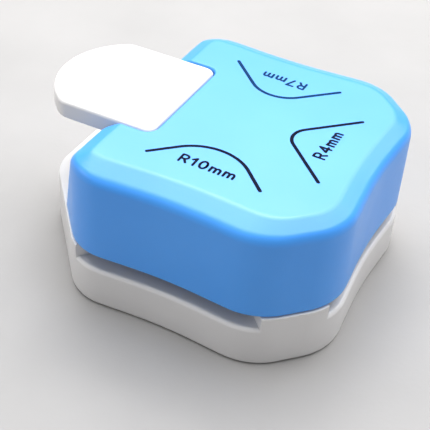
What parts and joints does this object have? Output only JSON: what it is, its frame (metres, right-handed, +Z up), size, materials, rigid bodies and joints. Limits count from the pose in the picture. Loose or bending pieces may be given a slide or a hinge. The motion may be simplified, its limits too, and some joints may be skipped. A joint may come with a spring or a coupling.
{
  "type": "corner rounder punch",
  "caption": "Hand lever punch with three slots that rounds paper corners to 4, 7 or 10 mm radius, with a sliding chip tray cover.",
  "frame": {"origin": "on the table, under the middle of the whole object's box", "axes": "+X from the finger lever towards the far wall, +Y towards the 7 mm slot, +Z up"},
  "size_m": [0.0704, 0.0612, 0.0315],
  "materials": {
    "blue_abs": "satin moulded",
    "white_abs": "satin moulded",
    "tray_abs": "matte moulded",
    "tool_steel": "ground, hardened",
    "plate_steel": "zinc plated",
    "spring_steel": "drawn wire",
    "screw_steel": "nickel plated"
  },
  "bodies": {
    "body": {"base": "white_abs", "top_shell": "blue_abs", "bottom_plate": "tray_abs", "die_plate": "tool_steel", "fence_front": "white_abs", "fence_back": "white_abs", "fence_lever_side": "white_abs", "guide_plate": "plate_steel", "pivot_bracket": "plate_steel", "pivot_pin": "plate_steel", "pin_clip_1": "spring_steel", "pin_clip_2": "spring_steel", "bracket_screw_1": "screw_steel", "bracket_screw_2": "screw_steel", "plate_screw_1": "screw_steel", "plate_screw_2": "screw_steel", "plate_screw_3": "screw_steel", "plate_screw_4": "screw_steel", "shell_screw_1": "screw_steel", "shell_screw_2": "screw_steel", "shell_screw_3": "screw_steel", "shell_screw_4": "screw_steel", "return_spring_1": "spring_steel", "return_spring_2": "spring_steel", "return_spring_3": "spring_steel", "return_spring_4": "spring_steel"},
    "lever_body": {"lever": "white_abs"},
    "punch": {"punch_block": "tool_steel", "punch_head": "plate_steel", "punch_screw_1": "screw_steel", "punch_screw_2": "screw_steel"},
    "cover": {"chip_cover": "tray_abs"}
  },
  "joints": [
    {"name": "lever_hinge", "type": "hinge", "parent": "body", "child": "lever_body", "pos_m": [0.0276, 0, 0.025], "axis": [0, -1, 0], "range_deg": [0, 10.6], "stiffness_Nm_per_rad": 2, "springref_deg": -7.45},
    {"name": "punch_slide", "type": "slide", "parent": "body", "child": "punch", "axis": [0, 0, -1], "range_m": [0, 0.0042], "stiffness_N_per_m": 20, "springref_m": -0.025, "deforming": ["return_spring_1", "return_spring_2", "return_spring_3", "return_spring_4"]},
    {"name": "chip_cover_slide", "type": "slide", "parent": "body", "child": "cover", "axis": [-1, 0, 0], "range_m": [0, 0.03]}
  ],
  "couplings": [
    {"joint": "punch_slide", "follows": "lever_hinge", "m_per_rad": 0.0226}
  ]
}
